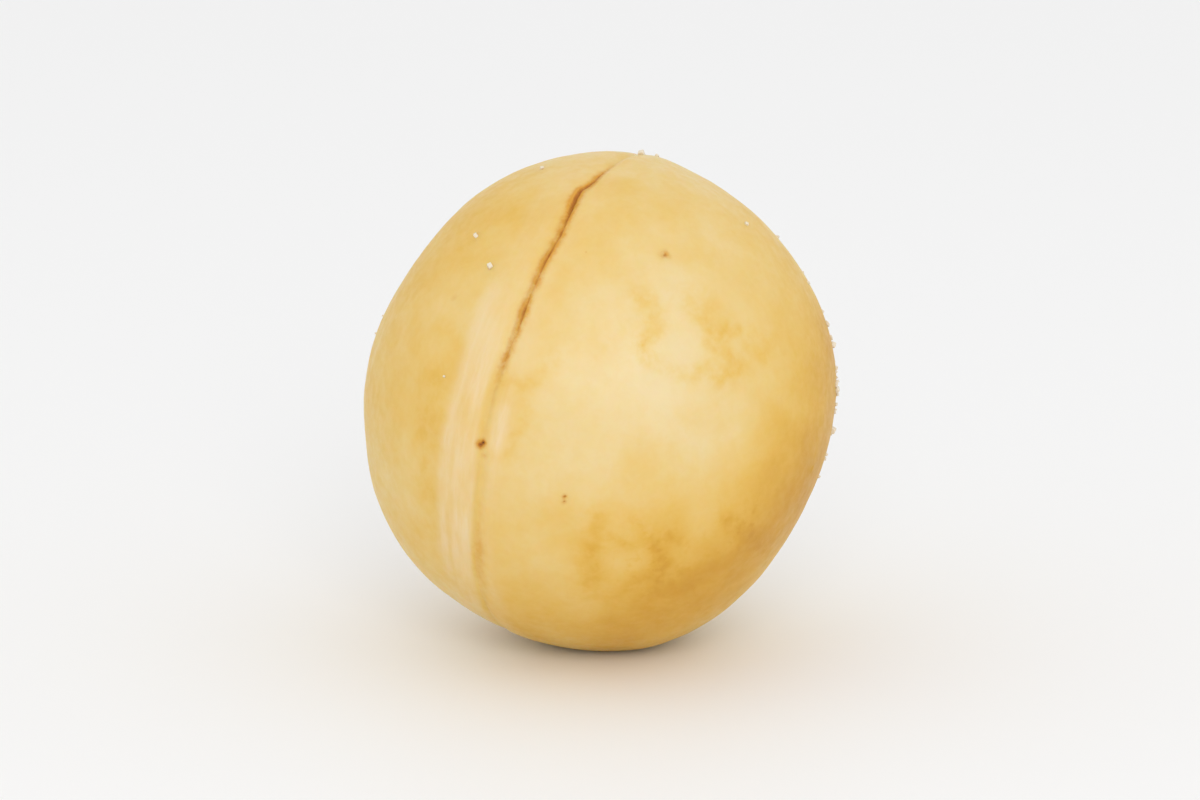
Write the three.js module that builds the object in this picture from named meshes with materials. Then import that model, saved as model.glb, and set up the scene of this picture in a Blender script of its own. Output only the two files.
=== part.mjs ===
// One shelled macadamia kernel, resting on the small flat spot that it settles on.
// Millimetres. +X is to the viewer's right, +Y away from the viewer, +Z up.
import * as THREE from "three";
import { mergeVertices } from "three/addons/utils/BufferGeometryUtils.js";

// Overall form: an egg that is nearly a ball, before its swellings, seam and resting spot.
const WIDTH = 19.1;
const DEPTH = 18.5;
const HEIGHT = 20.0;

// Resting spot: how far the lowest point is pressed up, and how softly the spot's edge blends in.
const PRESSED_HEIGHT = 0.22;
const EDGE_BLEND = 0.07;

// Seam between the two seed halves. The plane of the seam leans, and it lies a little to the left
// of the middle, so that the right half is the larger one. Places along the seam are degrees from
// its top end, and they grow down the front. The seam sways a little to the right and back again
// twice on its way round, and it is furthest to the right at the sway's place.
const SEAM_NORMAL = new THREE.Vector3(0.904, -0.392, -0.17).normalize();
const SEAM_OFFSET = -0.9;
const SEAM_SWAY = 0.12;
const SEAM_SWAY_PLACE = 15;

// Groove along the whole seam, and the narrow open crack in its upper front part.
const GROOVE_DEPTH = 0.08;
const GROOVE_HALF_WIDTH = 0.3;
const CRACK_DEPTH = 0.1;
const CRACK_HALF_WIDTH = 0.08;
const CRACK_FROM = 2;
const CRACK_TO = 72;
const CRACK_FADE = 9;

// Raised pale rims that run beside the seam, one on each half. They stand up down the front,
// and the rest of the way round only a share of that height is left.
const RIM_HEIGHT = 0.06;
const RIM_DISTANCE = 0.95;
const RIM_HALF_WIDTH = 0.5;
const RIM_FROM = 45;
const RIM_TO = 140;
const RIM_FADE = 20;
const RIM_SHARE_LEFT = 0.2;

// The right half stands a little proud of the left one where they meet.
const STEP_HEIGHT = 0.05;
const STEP_REACH = 1.6;

// Blunt beak of the root end, on the seam behind the top, with a shallow hollow round it.
const BEAK_PLACE = -58;
const BEAK_HEIGHT = 0.75;
const BEAK_SPREAD = 11;
const HOLLOW_DEPTH = 0.3;
const HOLLOW_SPREAD = 24;

// Swellings and flats that the shell pressed into the kernel: the way each one faces,
// its height (below zero for a flat) and its spread in degrees.
const SWELLINGS = {
  lowerRightFlat: { toward: [0.857, -0.125, -0.5], height: -0.41, spread: 18 },
  upperLeftShoulder: { toward: [-0.8, 0.146, 0.584], height: -0.37, spread: 18 },
  lowerLeftCheek: { toward: [-0.848, -0.128, -0.514], height: 0.25, spread: 14 },
  frontChin: { toward: [0.242, -0.235, -0.941], height: 0.13, spread: 12 },
  crown: { toward: [0.156, 0.239, 0.958], height: 0.15, spread: 10 },
  backRightFlat: { toward: [0.62, 0.76, -0.18], height: -0.3, spread: 22 },
  backLeftFlat: { toward: [-0.52, 0.7, -0.48], height: -0.22, spread: 20 },
};

// Mesh: columns run round the seam, rows run from it to the middle of each half.
const COLUMNS = 84;
const ROWS_PER_HALF = 18;
const ROW_SPREAD = 0.04;

// The kernel's surface colour and sheen.
const KERNEL_COLOUR = 0xefd49a;
const KERNEL_ROUGHNESS = 0.48;

const radians = THREE.MathUtils.degToRad;

// The seam's own axes: up to its top end, and forward to its front, both within its plane.
const seamTop = new THREE.Vector3(0, 0, 1).projectOnPlane(SEAM_NORMAL).normalize();
const seamFront = new THREE.Vector3().crossVectors(SEAM_NORMAL, seamTop);

// 1 at the centre of a bell curve, falling to 0 away from it.
function bell(distance, spread) {
  return Math.exp(-0.5 * (distance / spread) ** 2);
}

// 1 between two places along the seam, fading to 0 past both ends.
function stretch(place, from, to, fade) {
  const start = THREE.MathUtils.smoothstep(place, from - fade, from + fade);
  const end = THREE.MathUtils.smoothstep(place, to - fade, to + fade);
  return start * (1 - end);
}

// A direction in the seam's plane, at a place along the seam.
function seamDirection(place) {
  const angle = radians(place);
  return seamTop
    .clone()
    .multiplyScalar(Math.cos(angle))
    .addScaledVector(seamFront, Math.sin(angle));
}

// Radius of the plain egg in a direction.
function eggRadius(direction) {
  const x = direction.x / (WIDTH / 2);
  const y = direction.y / (DEPTH / 2);
  const z = direction.z / (HEIGHT / 2);
  return 1 / Math.sqrt(x * x + y * y + z * z);
}

// Height of the swellings, the flats and the beak in a direction.
function swellingHeight(direction) {
  const turnedFrom = (toward) => THREE.MathUtils.radToDeg(direction.angleTo(toward));
  let height = 0;
  for (const swelling of Object.values(SWELLINGS)) {
    const toward = new THREE.Vector3(...swelling.toward).normalize();
    height += swelling.height * bell(turnedFrom(toward), swelling.spread);
  }
  const fromBeak = turnedFrom(seamDirection(BEAK_PLACE));
  height += (BEAK_HEIGHT + HOLLOW_DEPTH) * bell(fromBeak, BEAK_SPREAD);
  height -= HOLLOW_DEPTH * bell(fromBeak, HOLLOW_SPREAD);
  return height;
}

// Height of the groove, the crack, the rims and the step, by the distance from the seam.
function seamHeight(place, distance) {
  const away = Math.abs(distance);
  const open = stretch(place, CRACK_FROM, CRACK_TO, CRACK_FADE);
  const groove = GROOVE_DEPTH * Math.max(0, 1 - away / GROOVE_HALF_WIDTH);
  const crack = CRACK_DEPTH * open * Math.max(0, 1 - away / CRACK_HALF_WIDTH);
  const raised = RIM_SHARE_LEFT + (1 - RIM_SHARE_LEFT) * stretch(place, RIM_FROM, RIM_TO, RIM_FADE);
  const rims = RIM_HEIGHT * raised * bell(away - RIM_DISTANCE, RIM_HALF_WIDTH);
  const step = 0.5 * STEP_HEIGHT * Math.sign(distance) * bell(distance, STEP_REACH);
  return rims + step - groove - crack;
}

// A point of the kernel's skin: its place along the seam, and how far it lies from the seam
// toward the middle of the right half (share 1) or of the left half (share -1).
function skinPoint(place, share) {
  const sway = SEAM_SWAY * Math.cos(radians(2 * (place - SEAM_SWAY_PLACE)));
  const seamTilt = (SEAM_OFFSET + sway) / (WIDTH / 2);
  const reach = share > 0 ? Math.PI / 2 - seamTilt : Math.PI / 2 + seamTilt;
  const tilt = seamTilt + share * reach;
  const direction = seamDirection(place)
    .multiplyScalar(Math.cos(tilt))
    .addScaledVector(SEAM_NORMAL, Math.sin(tilt));
  const radius = eggRadius(direction) + swellingHeight(direction);
  const distance = share * reach * radius;
  return direction.multiplyScalar(radius + seamHeight(place, distance));
}

// Share of the way from the seam to the middle of a half, with the rows close together at the seam.
function rowShare(row) {
  const along = Math.abs(row) / ROWS_PER_HALF;
  return Math.sign(row) * (ROW_SPREAD * along + (1 - ROW_SPREAD) * along * along);
}

// The closed skin: rings round the seam's axis, closed by a fan at the middle of each half.
function skinGeometry() {
  const positions = [];
  const faces = [];
  const ringCount = 2 * ROWS_PER_HALF - 1;
  for (let row = 1 - ROWS_PER_HALF; row < ROWS_PER_HALF; row++) {
    for (let column = 0; column < COLUMNS; column++) {
      const point = skinPoint((360 * column) / COLUMNS, rowShare(row));
      positions.push(point.x, point.y, point.z);
    }
  }
  for (let ring = 0; ring < ringCount - 1; ring++) {
    for (let column = 0; column < COLUMNS; column++) {
      const next = (column + 1) % COLUMNS;
      const a = ring * COLUMNS + column;
      const b = ring * COLUMNS + next;
      const c = a + COLUMNS;
      const d = b + COLUMNS;
      faces.push(a, b, d, a, d, c);
    }
  }
  const leftMiddle = skinPoint(0, -1);
  const rightMiddle = skinPoint(0, 1);
  positions.push(leftMiddle.x, leftMiddle.y, leftMiddle.z);
  positions.push(rightMiddle.x, rightMiddle.y, rightMiddle.z);
  const left = ringCount * COLUMNS;
  const right = left + 1;
  const lastRing = (ringCount - 1) * COLUMNS;
  for (let column = 0; column < COLUMNS; column++) {
    const next = (column + 1) % COLUMNS;
    faces.push(left, next, column);
    faces.push(right, lastRing + column, lastRing + next);
  }
  const geometry = new THREE.BufferGeometry();
  geometry.setAttribute("position", new THREE.Float32BufferAttribute(positions, 3));
  geometry.setIndex(faces);
  return geometry;
}

// Height over the table, with what would sink below it pressed flat and the edge blended in.
function pressedHeight(height) {
  if (height <= -EDGE_BLEND) return 0;
  if (height >= EDGE_BLEND) return height;
  return (height + EDGE_BLEND) ** 2 / (4 * EDGE_BLEND);
}

// Presses the resting spot flat, and centres the kernel over it with the spot at height 0.
function settle(geometry) {
  geometry.computeBoundingBox();
  const table = geometry.boundingBox.min.z + PRESSED_HEIGHT;
  const position = geometry.getAttribute("position");
  for (let i = 0; i < position.count; i++) {
    position.setZ(i, pressedHeight(position.getZ(i) - table));
  }
  geometry.computeBoundingBox();
  const middle = geometry.boundingBox.getCenter(new THREE.Vector3());
  geometry.translate(-middle.x, -middle.y, 0);
}

function makeKernel() {
  const geometry = mergeVertices(skinGeometry());
  settle(geometry);
  geometry.computeVertexNormals();
  const material = new THREE.MeshStandardMaterial({
    color: KERNEL_COLOUR,
    roughness: KERNEL_ROUGHNESS,
    metalness: 0,
  });
  const kernel = new THREE.Mesh(geometry, material);
  kernel.name = "kernel";
  return kernel;
}

const part = new THREE.Group();
part.add(makeKernel());

export default part;
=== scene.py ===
# One shelled macadamia kernel, dry roasted and lightly salted, on a plain pale table.
# Metres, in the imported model's frame: +X to the viewer's right, +Y away from the viewer, +Z up.
import math

import bpy
import numpy as np
from mathutils import Euler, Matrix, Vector, noise
from mathutils.bvhtree import BVHTree


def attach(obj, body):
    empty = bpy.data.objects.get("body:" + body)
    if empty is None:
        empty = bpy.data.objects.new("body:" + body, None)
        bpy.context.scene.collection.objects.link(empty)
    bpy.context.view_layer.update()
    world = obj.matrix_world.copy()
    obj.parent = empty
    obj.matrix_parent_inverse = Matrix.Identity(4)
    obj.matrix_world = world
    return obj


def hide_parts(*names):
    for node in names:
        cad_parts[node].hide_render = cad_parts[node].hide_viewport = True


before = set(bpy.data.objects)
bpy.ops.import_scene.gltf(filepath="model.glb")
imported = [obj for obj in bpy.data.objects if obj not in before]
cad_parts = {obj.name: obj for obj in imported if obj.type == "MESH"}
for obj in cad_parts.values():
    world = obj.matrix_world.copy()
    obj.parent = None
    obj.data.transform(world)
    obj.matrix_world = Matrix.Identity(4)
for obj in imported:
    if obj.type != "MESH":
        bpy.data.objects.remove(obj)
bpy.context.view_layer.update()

# Kernel
# The seed of the nut: two fat halves that grew tight together, in one piece with a waxy skin.
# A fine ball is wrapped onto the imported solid, the small relief is pressed into it, and its
# colours are painted on by their place.

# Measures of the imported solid, in millimetres: its middle, and the seam's plane and sway. Places
# along the seam are degrees from its top end, and they grow down the front.
MM = 0.001
EGG_MIDDLE = np.array([0.048, 0.069, 9.818])
EGG_HALF_WIDTH = 9.55
SEAM_NORMAL = np.array([0.904, -0.392, -0.17])
SEAM_OFFSET = -0.9
SEAM_SWAY = 0.12
SEAM_SWAY_PLACE = 15
FIRST_PLACE = -120

# The mesh: columns run round the seam, rows run from it to the middle of each half.
COLUMNS = 128
ROWS_PER_HALF = 23
ROW_SPREAD = 0.12
SKIN_LEVELS = 2
SOLID_LEVELS = 2
WRAP_FROM = 11.0
MERGED_WITHIN = 0.01
QUAD_ANGLE = math.radians(60)

# Unevenness of the whole skin: the size of its lumps, and their height.
UNEVENNESS = [(5.0, 0.07), (1.6, 0.018)]

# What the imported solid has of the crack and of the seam's groove is filled, and finer ones take its
# place: first place, last place, fade, depth and half width. The groove is drawn a little beside.
SOLID_CRACK = (2, 72, 9, 0.067, 0.105)
SOLID_GROOVE = (82, 136, 7, 0.07, 0.3)
GROOVE_DEPTH = 0.03
GROOVE_HALF_WIDTH = 0.26
GROOVE_DRIFT = [(80, 0), (92, 0.15), (100, 0.22), (113, 0.17), (126, 0.09), (138, 0.1), (150, 0)]

# The crack: place, shift to the right of the seam, half width and depth.
CRACK = [
    (-4, 0, 0.05, 0),
    (3, 0.02, 0.06, 0.01),
    (9, -0.05, 0.06, 0.04),
    (15, -0.1, 0.07, 0.08),
    (19, -0.2, 0.09, 0.11),
    (22, -0.23, 0.1, 0.12),
    (27, -0.08, 0.11, 0.12),
    (31, 0.04, 0.07, 0.06),
    (35, 0.16, 0.08, 0.07),
    (39, 0.12, 0.07, 0.04),
    (42, 0.07, 0.1, 0.08),
    (47, 0.1, 0.08, 0.04),
    (51, 0.12, 0.07, 0.03),
    (56, 0.13, 0.11, 0.09),
    (62, 0.16, 0.08, 0.03),
    (68, 0.06, 0.08, 0.02),
    (76, 0, 0.06, 0),
]
CRACK_RAGGED = 0.04
CRACK_RAGGED_SIZE = 0.5
CRACK_WIDTH_VARIES = 0.35
CRACK_WIDTH_SIZE = 0.9

# Fine lines on the rims: their height, the distances from the seam between which they rise and
# between which they end, and how much they are squeezed along the seam and across it.
RIM_LINE_HEIGHT = 0.005
RIM_LINES_RISE = (0.25, 0.6)
RIM_LINES_END = (1.6, 2.1)
RIM_LINE_SQUEEZE = (0.12, 3.2)

# Pin holes left by the shell's fibres: right and up as seen from the front, half width and stain.
# Their stain is partly real browning and partly painted shade of the holes.
PIT_DEPTH = 0.07
PITS = {
    "seam pit, left": (-4.77, -1.74, 0.08, 1.35),
    "seam pit, right": (-4.65, -1.69, 0.08, 1.4),
    "below the seam pit": (-4.6, -2.2, 0.08, 0.5),
    "upper pin hole": (2.62, 5.84, 0.1, 0.9),
    "lower pin hole, upper half": (-1.42, -3.88, 0.06, 0.8),
    "lower pin hole, lower half": (-1.47, -4.07, 0.05, 0.7),
    "left pin hole": (-5.8, 4.1, 0.08, 0.45),
}

# The relief fades out between these heights, so that the flat resting spot stays flat.
RELIEF_RISE = (0.02, 0.5)

# The view from the front, by which places on the skin are named. The camera takes it as well.
VIEW_TILT = math.radians(14)
VIEW_DISTANCE = 200
VIEW_MIDDLE = np.array([0, 0, 9.9])
NEVER = 100


def only(thing):
    """Selects one object and nothing else, and makes it the active one."""
    bpy.ops.object.select_all(action="DESELECT")
    thing.select_set(True)
    bpy.context.view_layer.objects.active = thing


def smooth_copy(node):
    """A merged and subdivided copy of a CAD node, smooth enough to wrap a fine mesh onto."""
    only(node)
    bpy.ops.object.duplicate()
    copy = bpy.context.object
    bpy.ops.object.mode_set(mode="EDIT")
    bpy.ops.mesh.select_all(action="SELECT")
    bpy.ops.mesh.remove_doubles(threshold=MERGED_WITHIN * MM)
    bpy.ops.mesh.tris_convert_to_quads(face_threshold=QUAD_ANGLE, shape_threshold=QUAD_ANGLE)
    bpy.ops.object.mode_set(mode="OBJECT")
    smoother = copy.modifiers.new("smoother", "SUBSURF")
    smoother.levels = smoother.render_levels = SOLID_LEVELS
    bpy.ops.object.modifier_apply(modifier=smoother.name)
    return copy


def places_of(mesh):
    """The mesh's vertex places as an array of millimetres."""
    flat = np.empty(len(mesh.vertices) * 3)
    mesh.vertices.foreach_get("co", flat)
    return flat.reshape(-1, 3) / MM


def set_places(mesh, places):
    """Moves the mesh's vertices to places given in millimetres."""
    mesh.vertices.foreach_set("co", (places * MM).ravel())
    mesh.update()


def unit(vectors):
    """The vectors, each made one unit long."""
    return vectors / np.linalg.norm(vectors, axis=-1, keepdims=True)


def bell(distance, spread):
    """1 at no distance, falling to 0 away from it."""
    return np.exp(-0.5 * (distance / spread) ** 2)


def notch(distance, half_width):
    """1 at no distance, falling straight to 0 at the half width."""
    return np.clip(1 - np.abs(distance) / half_width, 0, 1)


def step_up(value, low, high):
    """0 below low, 1 above high and a smooth rise between."""
    t = np.clip((value - low) / (high - low), 0, 1)
    return t * t * (3 - 2 * t)


def between(value, rise, end):
    """1 from a rise to an end, each of them given as where it begins and where it is over."""
    return step_up(value, *rise) * (1 - step_up(value, *end))


def stretch(first, last, fade):
    """1 between two places along the seam, fading to 0 past both ends."""
    return between(place, (first - fade, first + fade), (last - fade, last + fade))


def along_seam(table, elsewhere=None):
    """The columns of a table at each vertex, read by the vertex's place along the seam."""
    places, *columns = zip(*table)
    return [np.interp(place, places, column, elsewhere, elsewhere) for column in columns]


def uneven(points, size, octaves=3, apart=0):
    """Smooth random heights, about -1 to 1, with lumps of about the given size in millimetres.
    Patterns that lie far enough apart have nothing in common."""
    falloff, lacunarity = 1.0, 2.0
    return np.array([noise.fractal(Vector(p) / size, falloff, lacunarity, octaves)
                     for p in points + apart])


seam_normal = unit(SEAM_NORMAL)
seam_top = unit(np.array([0, 0, 1]) - seam_normal[2] * seam_normal)
seam_front = np.cross(seam_normal, seam_top)

bpy.ops.mesh.primitive_uv_sphere_add(segments=COLUMNS, ring_count=2 * ROWS_PER_HALF, radius=MM)
kernel = bpy.context.object
kernel.name = kernel.data.name = "kernel_skin"
finer = kernel.modifiers.new("finer", "SUBSURF")
finer.subdivision_type = "SIMPLE"
finer.levels = finer.render_levels = SKIN_LEVELS
bpy.ops.object.modifier_apply(modifier=finer.name)

# The ball's poles become the middles of the two halves, and its middle ring becomes the seam.
start = unit(places_of(kernel.data))
turn = np.arctan2(start[:, 1], start[:, 0])
row = np.arcsin(np.clip(start[:, 2], -1, 1)) / (math.pi / 2)
share = np.sign(row) * (ROW_SPREAD * np.abs(row) + (1 - ROW_SPREAD) * row**2)
sway = SEAM_SWAY * np.cos(2 * (turn - math.radians(SEAM_SWAY_PLACE)))
seam_tilt = (SEAM_OFFSET + sway) / EGG_HALF_WIDTH
reach = math.pi / 2 - np.sign(share) * seam_tilt
tilt = seam_tilt + share * reach
ring = np.outer(np.cos(turn), seam_top) + np.outer(np.sin(turn), seam_front)
outward = ring * np.cos(tilt)[:, None] + np.outer(np.sin(tilt), seam_normal)

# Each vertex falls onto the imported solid, straight toward its middle.
solid = smooth_copy(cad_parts["kernel"])
target = BVHTree.FromObject(solid, bpy.context.evaluated_depsgraph_get())
starts = EGG_MIDDLE + WRAP_FROM * outward
falls = [target.ray_cast(Vector(p * MM), Vector(-d))[3] for p, d in zip(starts, outward)]
bpy.data.objects.remove(solid)
skin = starts - outward * np.array(falls)[:, None] / MM

# Where each vertex lies: how far from the seam (to the right), its place along the seam, a point on
# a plain ring for patterns that follow the seam, and where it is seen from the front.
radius = np.linalg.norm(skin - EGG_MIDDLE, axis=1)
distance = share * reach * radius
place = np.degrees(turn)
place = np.where(place < FIRST_PLACE, place + 360, place)
seam_way = np.c_[np.cos(turn), np.sin(turn), np.zeros_like(turn)] * EGG_HALF_WIDTH
toward_viewer = np.array([0, -math.cos(VIEW_TILT), math.sin(VIEW_TILT)])
view_upward = np.array([0, math.sin(VIEW_TILT), math.cos(VIEW_TILT)])
nearness = (skin - VIEW_MIDDLE) @ toward_viewer
view_scale = VIEW_DISTANCE / (VIEW_DISTANCE - nearness)
seen_right = skin[:, 0] * view_scale
seen_up = (skin - VIEW_MIDDLE) @ view_upward * view_scale


def seen_from_front(right, up):
    """The direction from the kernel's middle to the skin that the camera sees so many millimetres
    right of the view's middle and above it."""
    miss = np.hypot(seen_right - right, seen_up - up) + NEVER * (nearness < 0)
    return outward[miss.argmin()]


def seen_distance(right, up):
    """How far each vertex lies from a place seen from the front, in millimetres along the skin."""
    cosine = np.clip(outward @ seen_from_front(right, up), -1, 1)
    return np.arccos(cosine) * radius


def squeezed(along, across):
    """Points that stretch a pattern along the seam and squeeze it across, or the other way."""
    return np.c_[along * seam_way[:, :2], across * distance]


relief = sum(height * uneven(skin, size) for size, height in UNEVENNESS)
for first, last, fade, depth, half_width in (SOLID_CRACK, SOLID_GROOVE):
    relief += depth * stretch(first, last, fade) * notch(distance, half_width)
(drift,) = along_seam(GROOVE_DRIFT)
relief -= GROOVE_DEPTH * stretch(*SOLID_GROOVE[:3]) * notch(distance - drift, GROOVE_HALF_WIDTH)

crack_shift, crack_half_width, crack_depth = along_seam(CRACK)
ragged = CRACK_RAGGED * uneven(seam_way, CRACK_RAGGED_SIZE, 4)
from_crack = distance - crack_shift - drift - ragged
crack_half_width *= 1 + CRACK_WIDTH_VARIES * uneven(seam_way, CRACK_WIDTH_SIZE, apart=40)
relief -= crack_depth * notch(from_crack, crack_half_width)

rim_lines = between(np.abs(distance), RIM_LINES_RISE, RIM_LINES_END)
relief += RIM_LINE_HEIGHT * rim_lines * uneven(squeezed(*RIM_LINE_SQUEEZE), 1.0, 2)
for right, up, half_width, stained in PITS.values():
    relief -= PIT_DEPTH * min(stained, 1) * bell(seen_distance(right, up), half_width)

relief *= step_up(skin[:, 2], *RELIEF_RISE)
skin += outward * relief[:, None]
skin[:, 2] = np.maximum(skin[:, 2], 0)
set_places(kernel.data, skin)
only(kernel)
bpy.ops.object.shade_smooth()

# Colours of the skin, from pale cream through gold to toasted ochre, on one scale of warmth.
WARMTHS = [
    (0.0, (0.78, 0.65, 0.4)),
    (0.25, (0.755, 0.585, 0.27)),
    (0.5, (0.745, 0.525, 0.17)),
    (0.75, (0.72, 0.45, 0.08)),
    (1.0, (0.64, 0.35, 0.035)),
    (1.4, (0.54, 0.26, 0.015)),
]
WARMEST = 1.4
RIM_CREAM = (0.78, 0.61, 0.35, 1)
STAIN_ORANGE = (0.62, 0.27, 0.008, 1)
# The crack's brown and the pin holes' dark brown are partly real stain and partly painted shade of
# these hollows.
STAIN_AND_SHADE_BROWN = (0.43, 0.14, 0.002, 1)
PIT_BROWN = (0.13, 0.04, 0.002, 1)

# The stain in the crack and in the seam below it, whose brown core is partly painted shade of the
# crack: place and strength, then place and half width.
# Its core and its halo are so many times as wide, and a pit's halo has a share of its core's stain.
STAIN = [
    (-4, 0), (3, 0.12), (9, 0.5), (14, 0.7), (18, 0.9), (26, 1), (29, 0.75), (32, 0.6),
    (35, 0.85), (38, 0.62), (41, 0.85), (44, 0.64), (52, 0.56), (54, 0.62), (56, 0.88), (58, 0.64),
    (62, 0.52), (66, 0.55), (70, 0.48), (72, 0.28), (76, 0.15), (82, 0.08), (96, 0.08), (107, 0.1),
    (111, 0.24), (118, 0.28), (124, 0.27), (132, 0.12), (142, 0),
]
STAIN_ELSEWHERE = 0.05
STAIN_WIDTHS = [(4, 0.07), (14, 0.09), (24, 0.12), (98, 0.12), (110, 0.16)]
STAIN_CORE = 0.75
STAIN_HALO = 1.5
PIT_HALO = 1.7
PIT_HALO_SHARE = 0.6

# The pale rims. A rise, end or fade gives where it begins and where it is over, along the seam or
# away from it. The left rim is broad, with a wandering outer edge. It is duller along one line
# (its distance from the seam and its half width) and near its top.
RIMS_RISE = (44, 62)
RIMS_END = (132, 155)
RIMS_ELSEWHERE = 0.2
LEFT_RIM_RISE = (0.2, 0.5)
LEFT_RIM_END = (1.45, 2.1)
LEFT_RIM_WANDER = 0.25
LEFT_RIM_WANDER_SIZE = 1.8
DULL_LINE = (1.25, 0.12)
DULL_LINE_LOSS = 0.3
DULL_TOP_END = (54, 70)
DULL_TOP_WITHIN = (0.9, 1.3)
DULL_TOP_LOSS = 0.6
LEFT_RIM_MEAN = 0.82
LEFT_RIM_VARIES = 0.3
LEFT_RIM_VARIES_SIZE = 1.5
LEFT_RIM_SQUEEZE = (1, 0.8)
LEFT_RIM_FADE = (112, 135)
LEFT_RIM_FADE_LOSS = 0.4

# The right rim (its distance from the seam and its half width) is narrow and faint, but for one
# short pale stretch beside the seam pit.
RIGHT_RIM = (0.6, 0.26)
RIGHT_RIM_STRENGTH = 0.25
PALE_STRETCH = 0.7
PALE_STRETCH_RISE = (76, 80)
PALE_STRETCH_FADE = (87, 92)
PALE_STRETCH_FADE_LOSS = 0.75
PALE_STRETCH_END = (92, 106)

# Broad areas that are warmer, or paler below zero: right, up, spread and strength. Some of them are
# painted shade or a painted highlight, as marked.
WARM_AREAS = {
    # These two are partly paler skin and partly a painted highlight on the front.
    "pale heart of the front": (1.4, 0.8, 3.0, -0.24),
    "pale patch right of the middle": (4.6, -0.4, 1.6, -0.2),
    "upper right": (4.2, 5.0, 1.7, -0.13),
    "above the middle": (0.3, 4.8, 1.8, -0.09),
    "left of the lower half": (0.0, -4.5, 1.8, -0.1),
    # From here to the underside: partly the skin's toasted tone and partly painted shade, warmer and
    # darker on the right, low and under sides.
    "right side": (9.3, 0.6, 3.6, 0.5),
    "right of the lower half": (7.6, -4.3, 2.0, 0.3),
    "right edge, low": (9.0, -4.4, 1.7, 0.26),
    "lower half": (3.0, -5.6, 3.0, 0.05),
    "lower right": (4.8, -7.2, 2.6, 0.4),
    "underside at the front": (-1.0, -9.4, 2.6, 0.3),
    "left zone": (-7.2, 1.0, 2.2, 0.03),
    "upper left": (-5.8, 7.2, 2.8, 0.15),
    "left of the crack": (-2.4, 7.0, 1.4, 0.12),
    "right of the ring": (6.3, 2.4, 1.2, -0.06),
    "smudge under the crown": (0.5, 8.65, 0.6, 0.16),
}

# Streaks along lines of seen places, which waver a little: half width, strength, and the line.
STREAKS = {
    "main face, left stroke": (0.3, 0.7, [(1.6, 4.1), (2.25, 3.5), (2.1, 2.7), (1.8, 2.1)]),
    "main face, lower left arc": (0.26, 0.9, [(1.8, 2.1), (2.1, 1.65), (2.75, 1.2), (3.2, 1.0)]),
    "main face, bottom arc": (
        0.28, 0.7, [(3.7, 1.1), (4.3, 1.3), (4.75, 0.85), (5.5, 1.3), (5.1, 1.9), (4.8, 2.4)]
    ),
    "main face, top blob": (0.5, 0.45, [(3.8, 3.9), (4.0, 3.5)]),
    "main face, below the blob": (0.2, 0.5, [(4.15, 3.1), (4.35, 2.1)]),
    "main face, right stroke": (0.2, 0.6, [(4.9, 2.75), (6.1, 2.8), (6.75, 2.25)]),
    "main face, second right stroke": (0.16, 0.5, [(5.9, 2.1), (6.5, 1.75)]),
    "main face, left spot": (0.4, 0.3, [(1.05, 2.6), (1.1, 2.5)]),
    "pale inside of the ring": (0.4, -0.15, [(2.9, 2.3), (3.8, 2.1)]),
    "pale streak over the ring": (0.3, -0.2, [(4.7, 4.6), (6.2, 3.4)]),
    "right of the seam": (
        0.24, 0.5, [(-1.8, 1.7), (-2.4, 1.1), (-2.9, 0.45), (-3.3, -1.2), (-3.6, -2.2)]
    ),
    "below the crack": (0.22, 0.5, [(-3.9, 0.95), (-3.3, 0.6)]),
    "beside the left rim": (
        0.35, 0.3, [(-6.5, 0.8), (-6.7, -0.8), (-6.95, -2.4), (-6.65, -5.0)]
    ),
    "bottom patch, left edge": (
        0.3, 0.5, [(-0.1, -4.7), (-0.3, -5.7), (-0.45, -6.6), (-0.3, -7.4)]
    ),
    "bottom patch, dash": (0.14, 0.8, [(0.5, -5.45), (1.05, -5.8)]),
    "bottom patch, slanting line": (0.24, 0.5, [(1.4, -4.8), (2.2, -5.95), (2.6, -6.6)]),
    "bottom patch, small dash": (0.14, 0.5, [(2.8, -5.45), (3.2, -5.65)]),
    "bottom patch, right blob": (0.5, 0.35, [(1.9, -7.4), (2.8, -7.8), (3.4, -7.1)]),
    "bottom patch, pale spots": (0.28, -0.5, [(0.75, -6.6), (1.5, -6.4)]),
    "at the lower right edge": (0.26, 0.5, [(4.9, -4.7), (5.7, -5.35), (6.4, -5.7)]),
}
STREAK_WAVER = 0.14
STREAK_WAVER_SIZE = 0.7

# Marks on the sides turned away: size, half width and strength of the lines, the size and the rise
# of the areas that have them, the size, rise and strength of the pale spots, and how far behind
# the middle all of them come up.
AWAY_LINES = (3.4, 0.08, 0.6)
AWAY_AREAS = (4.2, (-0.1, 0.15))
AWAY_PALE = (2.4, (0.1, 0.35), 0.3)
AWAY_RISE = (-0.3, 2.0)

# Where the skin is flecked: right, up, spread and strength.
FLECKED_AREAS = {"bottom patch": (1.6, -6.6, 1.4, 1), "right of it": (6, -5, 1.0, 1)}

# How much the strands of the rims' cream are squeezed along the seam and across it.
STRAND_SQUEEZE = (0.5, 3.0)


def paint(name, values):
    """Stores one number for each vertex, which the shader reads by its name."""
    layer = kernel.data.attributes.new(name, "FLOAT", "POINT")
    layer.data.foreach_set("value", values.astype(np.float32))


def paint_way(name, points):
    """Stores one point for each vertex, in millimetres, for a pattern that follows the seam."""
    layer = kernel.data.attributes.new(name, "FLOAT_VECTOR", "POINT")
    layer.data.foreach_set("vector", points.astype(np.float32).ravel())


def areas(table):
    """The named areas together, each one its strength at its middle and fading by its spread."""
    return sum(strength * bell(seen_distance(right, up), spread)
               for right, up, spread, strength in table.values())


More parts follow.
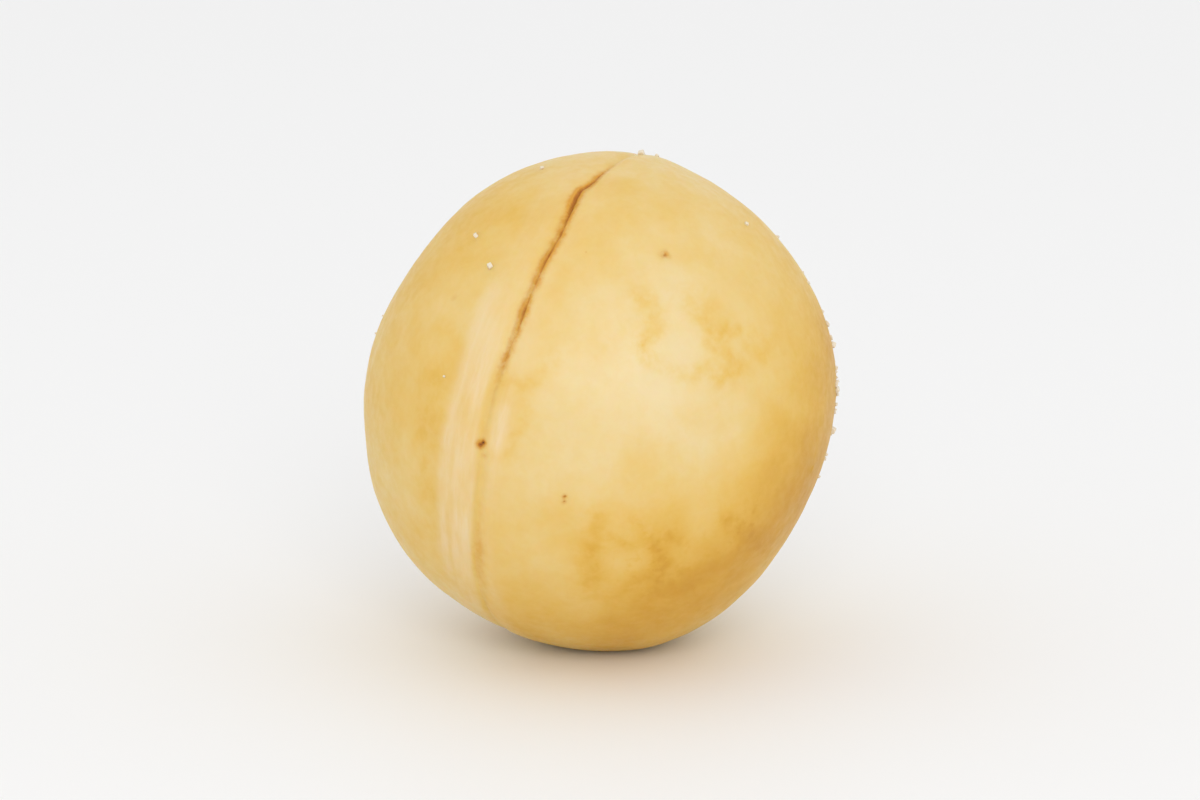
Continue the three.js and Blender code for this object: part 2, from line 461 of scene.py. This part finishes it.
def streaks(table):
    """The named streaks together, each one its strength on its line and fading by its width."""
    across = seen_right + STREAK_WAVER * uneven(skin, STREAK_WAVER_SIZE, 2)
    upward = seen_up + STREAK_WAVER * uneven(skin, STREAK_WAVER_SIZE, 2, apart=21)
    total = np.zeros(len(skin))
    for width, strength, line in table.values():
        nearest = np.full(len(skin), float(NEVER))
        for (right, up), (next_right, next_up) in zip(line, line[1:]):
            run, climb = next_right - right, next_up - up
            along = ((across - right) * run + (upward - up) * climb) / (run**2 + climb**2)
            along = np.clip(along, 0, 1)
            miss = np.hypot(across - right - along * run, upward - up - along * climb)
            nearest = np.minimum(nearest, miss)
        total += strength * bell(nearest, width) * (nearness > 0)
    return total


def marks_turned_away():
    """Wandering lines and pale spots like those of the front, on the sides turned away from it."""
    size, half_width, strength = AWAY_LINES
    lines = strength * bell(uneven(skin, size, 2, apart=200), half_width)
    size, rise = AWAY_AREAS
    lines *= step_up(uneven(skin, size, 2, apart=300), *rise)
    size, rise, strength = AWAY_PALE
    spots = strength * step_up(uneven(skin, size, 2, apart=400), *rise)
    return (lines - spots) * step_up(-nearness, *AWAY_RISE)


def pale_rims():
    """How much of the rims' cream lies on each vertex."""
    down_front = between(place, RIMS_RISE, RIMS_END)
    elsewhere = RIMS_ELSEWHERE * (1 - down_front)

    wander = LEFT_RIM_WANDER * uneven(seam_way, LEFT_RIM_WANDER_SIZE, apart=90)
    left_rim = step_up(drift - distance, *LEFT_RIM_RISE)
    left_rim *= 1 - step_up(-distance - wander, *LEFT_RIM_END)
    line, half_width = DULL_LINE
    near_top = (1 - step_up(place, *DULL_TOP_END)) * (1 - step_up(-distance, *DULL_TOP_WITHIN))
    bright = 1 - DULL_LINE_LOSS * bell(distance + line, half_width) - DULL_TOP_LOSS * near_top
    lumps = uneven(squeezed(*LEFT_RIM_SQUEEZE), LEFT_RIM_VARIES_SIZE, 2, apart=60)
    bright *= LEFT_RIM_MEAN + LEFT_RIM_VARIES * lumps
    bright *= 1 - LEFT_RIM_FADE_LOSS * step_up(place, *LEFT_RIM_FADE)

    middle, half_width = RIGHT_RIM
    right_rim = bell(distance - middle, half_width)
    pale_stretch = PALE_STRETCH * between(place, PALE_STRETCH_RISE, PALE_STRETCH_END)
    pale_stretch *= 1 - PALE_STRETCH_FADE_LOSS * step_up(place, *PALE_STRETCH_FADE)
    faint = RIGHT_RIM_STRENGTH * down_front
    return left_rim * (down_front * bright + elsewhere) + right_rim * (
        faint + pale_stretch + elsewhere
    )


(stain,) = along_seam(STAIN, STAIN_ELSEWHERE)
stain_width = np.maximum(crack_half_width, along_seam(STAIN_WIDTHS)[0])
crack_stain_and_shade = stain * bell(from_crack, STAIN_CORE * stain_width)
halo = stain * bell(from_crack, STAIN_HALO * stain_width)
for right, up, half_width, stained in PITS.values():
    from_pit = seen_distance(right, up)
    crack_stain_and_shade = np.maximum(crack_stain_and_shade, stained * bell(from_pit, half_width))
    halo = np.maximum(halo, PIT_HALO_SHARE * stained * bell(from_pit, PIT_HALO * half_width))
paint("crack", crack_stain_and_shade)
paint("halo", halo)
paint("rim", pale_rims())
# The warmth holds painted shade on the right, low and under sides and a painted highlight on the
# front, besides the skin's own tones.
paint("warmth", areas(WARM_AREAS))
paint("mottled", streaks(STREAKS) + marks_turned_away())
paint("flecked", areas(FLECKED_AREAS))
paint_way("along_seam", squeezed(*STRAND_SQUEEZE))

# Noise in the skin's material: the size of its lumps in millimetres, detail, roughness, distortion.
WIDE_LUMPS = (4.5, 2, 0.5, 0.3)
MIDDLE_LUMPS = (1.3, 3, 0.55, 0.3)
FINE_LUMPS = (0.4, 4, 0.6)
FLECKS = (0.38, 2, 0.5, 0.3)
RIM_STRANDS = (1.0, 3, 0.6)
SKIN_GRAIN = (0.16, 3, 0.6)

# How noise or paint turns into warmth or a share of a colour: a smooth rise from its low to its
# high, and what comes out below the low and above the high.
WIDE_WARMTH = (0.3, 0.7, 0.38, 0.62)
MIDDLE_WARMTH = (0.3, 0.7, -0.05, 0.05)
FINE_WARMTH = (0.3, 0.7, -0.025, 0.025)
MOTTLES_IN_LUMPS = (0.35, 0.62, 0.5, 1.15)
MOTTLES_IN_GRAIN = (0.3, 0.65, 0.7, 1.1)
MOTTLE_WARMTH = 0.34
FLECK_WARMTH = (0.48, 0.8, 0, 0.18)
RIM_IN_STRANDS = (0.32, 0.68, 0.6, 1.05)
HALO_IN_GRAIN = (0.3, 0.7, 0.5, 1.1)
HALO_TINT = (0.02, 0.55, 0, 0.85)
CRACK_IN_GRAIN = (0.35, 0.65, 0.8, 1.1)
CRACK_TINT = (0.35, 0.95)
PIT_TINT = (1.0, 1.25)

# Rare tiny specks: how many cells to a millimetre, which cells have one, its edge and its strength.
SPECK_CELLS = 0.45
SPECK_CHOSEN = (0.7, 0.71)
SPECK_EDGE = (0.015, 0.035, 1, 0)
SPECK_STRENGTH = 0.5

# The finish: strength and height in millimetres of the grain and of the dents, then the sheen, and
# the soft glow of the light that enters the flesh.
GRAIN_BUMP = (0.4, 0.01)
DENT_BUMP = (0.5, 0.04)
SHEEN_ROUGHNESS = (0.25, 0.75, 0.38, 0.55)
SHEEN_LEVEL = 0.38
GLOW_WEIGHT = 0.6
GLOW_RADIUS = (1.0, 0.5, 0.2)
GLOW_SCALE = 1.0 * MM

look = bpy.data.materials.new("kernel_skin")
look.use_nodes = True
tree = look.node_tree
shader = tree.nodes["Principled BSDF"]


def plug(socket, value):
    """Gives a socket another node's output, or a number or colour of its own."""
    if isinstance(value, bpy.types.NodeSocket):
        tree.links.new(value, socket)
    else:
        socket.default_value = value


def add(kind, settings=None, **inputs):
    """A node with its settings, and its inputs given as numbers, colours or nodes' outputs."""
    node = tree.nodes.new("ShaderNode" + kind)
    for name, value in (settings or {}).items():
        setattr(node, name, value)
    for name, value in inputs.items():
        plug(node.inputs[name.replace("_", " ")], value)
    return node


def mix(share, first, second):
    """A colour between two colours. A Mix node's sockets go by number, since names repeat."""
    factor_socket, first_socket, second_socket, result_socket = 0, 6, 7, 2
    node = add("Mix", {"data_type": "RGBA"})
    plug(node.inputs[factor_socket], share)
    plug(node.inputs[first_socket], first)
    plug(node.inputs[second_socket], second)
    return node.outputs[result_socket]


def maths(operation, first, second):
    """The sum, product or quotient of two numbers."""
    node = add("Math", {"operation": operation})
    plug(node.inputs[0], first)
    plug(node.inputs[1], second)
    return node.outputs[0]


def rise(value, low, high, least=0.0, most=1.0):
    """A smooth rise from least to most while the value goes from low to high."""
    spans = {"From_Min": low, "From_Max": high, "To_Min": least, "To_Max": most}
    node = add("MapRange", {"interpolation_type": "SMOOTHSTEP"}, Value=value, **spans)
    return node.outputs["Result"]


def clouds(way, size, detail=3.0, roughness=0.5, distortion=0.0):
    """Noise with lumps of about the given size in millimetres."""
    scale = 1 / size
    shape = {"Detail": detail, "Roughness": roughness, "Distortion": distortion}
    return add("TexNoise", Vector=way, Scale=scale, **shape).outputs["Fac"]


def painted(name, output="Fac"):
    """What is painted on the vertices under a name."""
    node = add("Attribute", {"attribute_type": "GEOMETRY", "attribute_name": name})
    return node.outputs[output]


def object_way():
    """The point on the piece, in millimetres."""
    point = add("TexCoord").outputs["Object"]
    return add("VectorMath", {"operation": "SCALE"}, Vector=point, Scale=1 / MM).outputs["Vector"]


def warmth_colours(warmth):
    """The skin's colour at a warmth."""
    ramp = add("ValToRGB", Fac=maths("DIVIDE", warmth, WARMEST))
    ramp.color_ramp.interpolation = "B_SPLINE"
    stops = ramp.color_ramp.elements
    while len(stops) < len(WARMTHS):
        stops.new(0.5)  # each stop gets its own place below
    for stop, (level, tone) in zip(stops, WARMTHS):
        stop.position = level / WARMEST
        stop.color = (*tone, 1)
    return ramp.outputs["Color"]


way = object_way()
wide = clouds(way, *WIDE_LUMPS)
middle = clouds(way, *MIDDLE_LUMPS)
fine = clouds(way, *FINE_LUMPS)

warmth = maths("ADD", painted("warmth"), rise(wide, *WIDE_WARMTH))
warmth = maths("ADD", warmth, rise(middle, *MIDDLE_WARMTH))
warmth = maths("ADD", warmth, rise(fine, *FINE_WARMTH))
mottles = maths("MULTIPLY", painted("mottled"), rise(middle, *MOTTLES_IN_LUMPS))
mottles = maths("MULTIPLY", mottles, rise(fine, *MOTTLES_IN_GRAIN))
warmth = maths("ADD", warmth, maths("MULTIPLY", mottles, MOTTLE_WARMTH))
flecks = rise(clouds(way, *FLECKS), *FLECK_WARMTH)
warmth = maths("ADD", warmth, maths("MULTIPLY", painted("flecked"), flecks))
colour = warmth_colours(warmth)

strands = clouds(painted("along_seam", "Vector"), *RIM_STRANDS)
rim = maths("MULTIPLY", painted("rim"), rise(strands, *RIM_IN_STRANDS))
colour = mix(rim, colour, RIM_CREAM)

halo = maths("MULTIPLY", painted("halo"), rise(fine, *HALO_IN_GRAIN))
colour = mix(rise(halo, *HALO_TINT), colour, STAIN_ORANGE)
# The crack and the pin holes are darkened partly by real stain and partly by painted shade.
crack = maths("MULTIPLY", painted("crack"), rise(fine, *CRACK_IN_GRAIN))
colour = mix(rise(crack, *CRACK_TINT), colour, STAIN_AND_SHADE_BROWN)
colour = mix(rise(crack, *PIT_TINT), colour, PIT_BROWN)

cells = add("TexVoronoi", {"feature": "F1"}, Vector=way, Scale=SPECK_CELLS)
chance = add("SeparateColor", Color=cells.outputs["Color"]).outputs["Red"]
speck = rise(cells.outputs["Distance"], *SPECK_EDGE)
speck = maths("MULTIPLY", speck, rise(chance, *SPECK_CHOSEN))
colour = mix(maths("MULTIPLY", speck, SPECK_STRENGTH), colour, STAIN_ORANGE)
plug(shader.inputs["Base Color"], colour)

strength, height = GRAIN_BUMP
grain = add("Bump", Strength=strength, Distance=height * MM, Height=clouds(way, *SKIN_GRAIN))
strength, height = DENT_BUMP
dents = add("Bump", Strength=strength, Distance=height * MM, Height=middle)
plug(dents.inputs["Normal"], grain.outputs["Normal"])
plug(shader.inputs["Normal"], dents.outputs["Normal"])
plug(shader.inputs["Roughness"], rise(fine, *SHEEN_ROUGHNESS))
shader.inputs["Specular IOR Level"].default_value = SHEEN_LEVEL
shader.inputs["Subsurface Weight"].default_value = GLOW_WEIGHT
shader.inputs["Subsurface Radius"].default_value = GLOW_RADIUS
shader.inputs["Subsurface Scale"].default_value = GLOW_SCALE
kernel.data.materials.append(look)

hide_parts("kernel")
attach(kernel, "root")

# Salt grains
# A light dusting of table salt, small crystals that stick to the oily skin. Each one is a cube
# with its corners worn off, sunk a little into the skin, and none lies under the kernel.

# Grains at seen places: right, up and size, in millimetres.
PLACED_GRAINS = [
    (9.2, 3.05, 0.16), (9.36, 2.2, 0.22), (9.45, 1.3, 0.12), (9.5, 0.45, 0.24),
    (9.48, -0.4, 0.12), (9.4, -1.2, 0.28), (1.68, 9.93, 0.26), (2.3, 9.8, 0.14),
    (-5.0, 6.54, 0.2), (-4.4, 5.34, 0.19), (5.84, 7.1, 0.16), (-6.2, 0.9, 0.09),
]

# Grains strewn near the right edge (right, up and spread), and all over but for the underside and
# the face that is seen free of them.
STREWN_SEED = 7
STREWN_SIZES = (0.07, 0.17)
STREWN_AT_EDGE = 30
EDGE_MIDDLE = (9.4, 0.9)
EDGE_SPREAD = 2.4
STREWN_ANYWHERE = 44
LOWEST_STREWN = -0.7
FRONTMOST_STREWN = 0.1

# A grain's form: how far its corners are worn off, how deep it sinks, how it leans and stretches.
GRAIN_WORN = 0.16
GRAIN_SINK = 0.38
GRAIN_LEAN = 0.6
GRAIN_STRETCH = (0.75, 1.25)

SALT_SHADE = (0.7, 0.6, 0.42, 1)
SALT_WHITE = (0.82, 0.75, 0.62, 1)
SALT_LUMPS = 0.08
SALT_ROUGHNESS = (0.3, 0.7, 0.15, 0.4)

random = np.random.default_rng(STREWN_SEED)
surface = BVHTree.FromObject(kernel, bpy.context.evaluated_depsgraph_get())


def salt_grain(direction, size):
    """One crystal on the skin, in a direction from the kernel's middle."""
    far = Vector((EGG_MIDDLE + WRAP_FROM * direction) * MM)
    spot, normal, _, _ = surface.ray_cast(far, -Vector(direction))
    bpy.ops.mesh.primitive_cube_add(size=size * MM)
    grain = bpy.context.object
    worn = grain.modifiers.new("worn", "BEVEL")
    worn.width = GRAIN_WORN * size * MM
    worn.segments = 2
    bpy.ops.object.modifier_apply(modifier=worn.name)
    lean_x = random.uniform(-GRAIN_LEAN, GRAIN_LEAN)
    lean_y = random.uniform(-GRAIN_LEAN, GRAIN_LEAN)
    lean = Euler((lean_x, lean_y, random.uniform(0, math.pi)))
    grain.rotation_euler = (normal.to_track_quat("Z", "X") @ lean.to_quaternion()).to_euler()
    grain.scale = random.uniform(*GRAIN_STRETCH, 3)
    grain.location = spot + normal * size * MM * (0.5 - GRAIN_SINK)
    bpy.ops.object.transform_apply(location=True, rotation=True, scale=True)
    return grain


def kept_clear(direction):
    """True where no strewn grain lies."""
    return direction[2] < LOWEST_STREWN or -direction[1] > FRONTMOST_STREWN


grains = [salt_grain(seen_from_front(right, up), size) for right, up, size in PLACED_GRAINS]
edge_middle = seen_from_front(*EDGE_MIDDLE) * EGG_HALF_WIDTH
edge_grains_end = len(PLACED_GRAINS) + STREWN_AT_EDGE
while len(grains) < edge_grains_end + STREWN_ANYWHERE:
    if len(grains) < edge_grains_end:
        direction = unit(edge_middle + random.normal(0, EDGE_SPREAD, 3))
    else:
        direction = unit(random.normal(size=3))
    if not kept_clear(direction):
        grains.append(salt_grain(direction, random.uniform(*STREWN_SIZES)))
only(grains[0])
for grain in grains:
    grain.select_set(True)
bpy.ops.object.join()
salt = bpy.context.object
salt.name = salt.data.name = "salt_grains"

look = bpy.data.materials.new("salt")
look.use_nodes = True
tree = look.node_tree
shader = tree.nodes["Principled BSDF"]
cloudy = clouds(object_way(), SALT_LUMPS)
plug(shader.inputs["Base Color"], mix(cloudy, SALT_SHADE, SALT_WHITE))
plug(shader.inputs["Roughness"], rise(cloudy, *SALT_ROUGHNESS))
salt.data.materials.append(look)

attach(salt, "root")

# Camera
# It looks from a little above, at the angle that the kernel was seen from, and from far enough away
# that its outline is hardly drawn out at the near side.
LENS = 150
CLIP_START = 0.01

camera_data = bpy.data.cameras.new("camera")
camera = bpy.data.objects.new("camera", camera_data)
bpy.context.scene.collection.objects.link(camera)
bpy.context.scene.camera = camera
camera_data.lens = LENS
camera_data.clip_start = CLIP_START
aim = Vector(VIEW_MIDDLE * MM)
away = Vector(toward_viewer)
camera.location = aim + away * VIEW_DISTANCE * MM
camera.rotation_euler = away.to_track_quat("Z", "Y").to_euler()

# Table
# A wide plain table with a pale matt top, which stands in for the surface that the kernel rests on.
# It only shows the soft shadow round the resting spot.
TABLE_WIDTH = 6
TABLE_WHITE = (0.9, 0.9, 0.9, 1)
TABLE_ROUGHNESS = 0.6

bpy.ops.mesh.primitive_plane_add(size=TABLE_WIDTH)
table = bpy.context.object
table.name = "table"
look = bpy.data.materials.new("table")
look.use_nodes = True
shader = look.node_tree.nodes["Principled BSDF"]
shader.inputs["Base Color"].default_value = TABLE_WHITE
shader.inputs["Roughness"].default_value = TABLE_ROUGHNESS
table.data.materials.append(look)

# Light
# A soft white studio: even light from all round, and one round softbox before the kernel, a little
# above it and to its right, which gives the faint bright patch on the front.
STUDIO_WHITE = (1, 1, 1, 1)
STUDIO_STRENGTH = 0.92
SOFTBOX_PLACE = (0.04, -0.5, 0.26)
SOFTBOX_WIDTH = 0.3
SOFTBOX_WATTS = 0.85

world = bpy.data.worlds.new("studio")
bpy.context.scene.world = world
world.use_nodes = True
background = world.node_tree.nodes["Background"]
background.inputs["Color"].default_value = STUDIO_WHITE
background.inputs["Strength"].default_value = STUDIO_STRENGTH
bpy.context.scene.view_settings.view_transform = "Standard"

softbox = bpy.data.lights.new("key", "AREA")
softbox.shape = "DISK"
softbox.size = SOFTBOX_WIDTH
softbox.energy = SOFTBOX_WATTS
lamp = bpy.data.objects.new("key", softbox)
bpy.context.scene.collection.objects.link(lamp)
lamp.location = SOFTBOX_PLACE
lamp.rotation_euler = (Vector(SOFTBOX_PLACE) - aim).to_track_quat("Z", "Y").to_euler()
